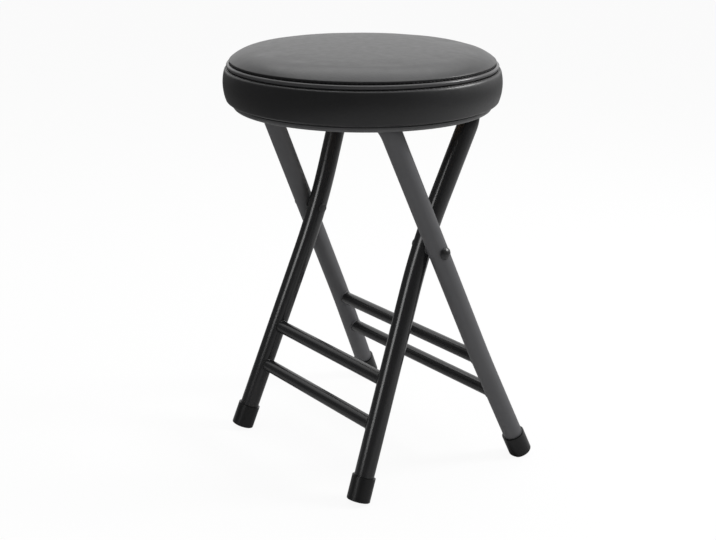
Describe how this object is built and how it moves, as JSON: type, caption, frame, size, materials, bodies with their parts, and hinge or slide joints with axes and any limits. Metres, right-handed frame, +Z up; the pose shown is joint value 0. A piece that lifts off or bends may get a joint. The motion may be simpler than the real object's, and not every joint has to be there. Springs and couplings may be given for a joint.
{
  "type": "folding stool",
  "caption": "Low folding stool: round padded vinyl seat that tips up on a hinge, over two crossing bent-tube frames riveted together, with stretchers and rubber feet.",
  "frame": {"origin": "on the floor under the centre of the seat", "axes": "+Z up, X along the pivot axis, -Y towards the hinge at the front of the seat"},
  "size_m": [0.3096, 0.3, 0.4683],
  "materials": {
    "black_vinyl": "satin, fine grain",
    "seat_foam": "open foam",
    "plywood": "raw",
    "black_plastic": "moulded, matt",
    "black_paint": "powder coat, semi-gloss",
    "black_rubber": "matt",
    "zinc_steel": "zinc plated",
    "rivet_steel": "blackened",
    "washer_nylon": "moulded nylon"
  },
  "bodies": {
    "outer_frame": {"outer_tube": "black_paint", "outer_upper_stretcher": "black_paint", "outer_lower_stretcher": "black_paint", "outer_foot_left": "black_rubber", "outer_foot_right": "black_rubber", "hinge_lug_left": "black_paint", "hinge_lug_right": "black_paint", "hinge_pin_left": "zinc_steel", "hinge_pin_right": "zinc_steel", "pivot_rivet_left": "rivet_steel", "pivot_rivet_right": "rivet_steel", "pivot_washer_left": "washer_nylon", "pivot_washer_right": "washer_nylon"},
    "inner_frame": {"inner_tube": "black_paint", "inner_upper_stretcher": "black_paint", "inner_lower_stretcher": "black_paint", "inner_foot_left": "black_rubber", "inner_foot_right": "black_rubber"},
    "seat": {"seat_cover_top": "black_vinyl", "seat_piping": "black_vinyl", "seat_cover_band": "black_vinyl", "seat_foam": "seat_foam", "edge_foam_strip": "seat_foam", "seat_board": "plywood", "base_ring": "black_plastic", "base_ring_screws": "zinc_steel", "hinge_bracket_left": "zinc_steel", "hinge_bracket_right": "zinc_steel", "hinge_bracket_screws": "zinc_steel", "front_saddle_left": "black_plastic", "front_saddle_right": "black_plastic", "rear_saddle_left": "black_plastic", "rear_saddle_right": "black_plastic", "saddle_screws": "zinc_steel"}
  },
  "joints": [
    {"name": "frame_fold", "type": "hinge", "parent": "outer_frame", "child": "inner_frame", "pos_m": [0, 0.0077, 0.2666], "axis": [1, 0, 0], "range_deg": [0, 30]},
    {"name": "seat_tilt", "type": "hinge", "parent": "outer_frame", "child": "seat", "pos_m": [0, -0.07767, 0.41021], "axis": [1, 0, 0], "range_deg": [0, 110]}
  ],
  "couplings": [
    {"joint": "seat_tilt", "follows": "frame_fold", "ratio": 3.6667}
  ]
}
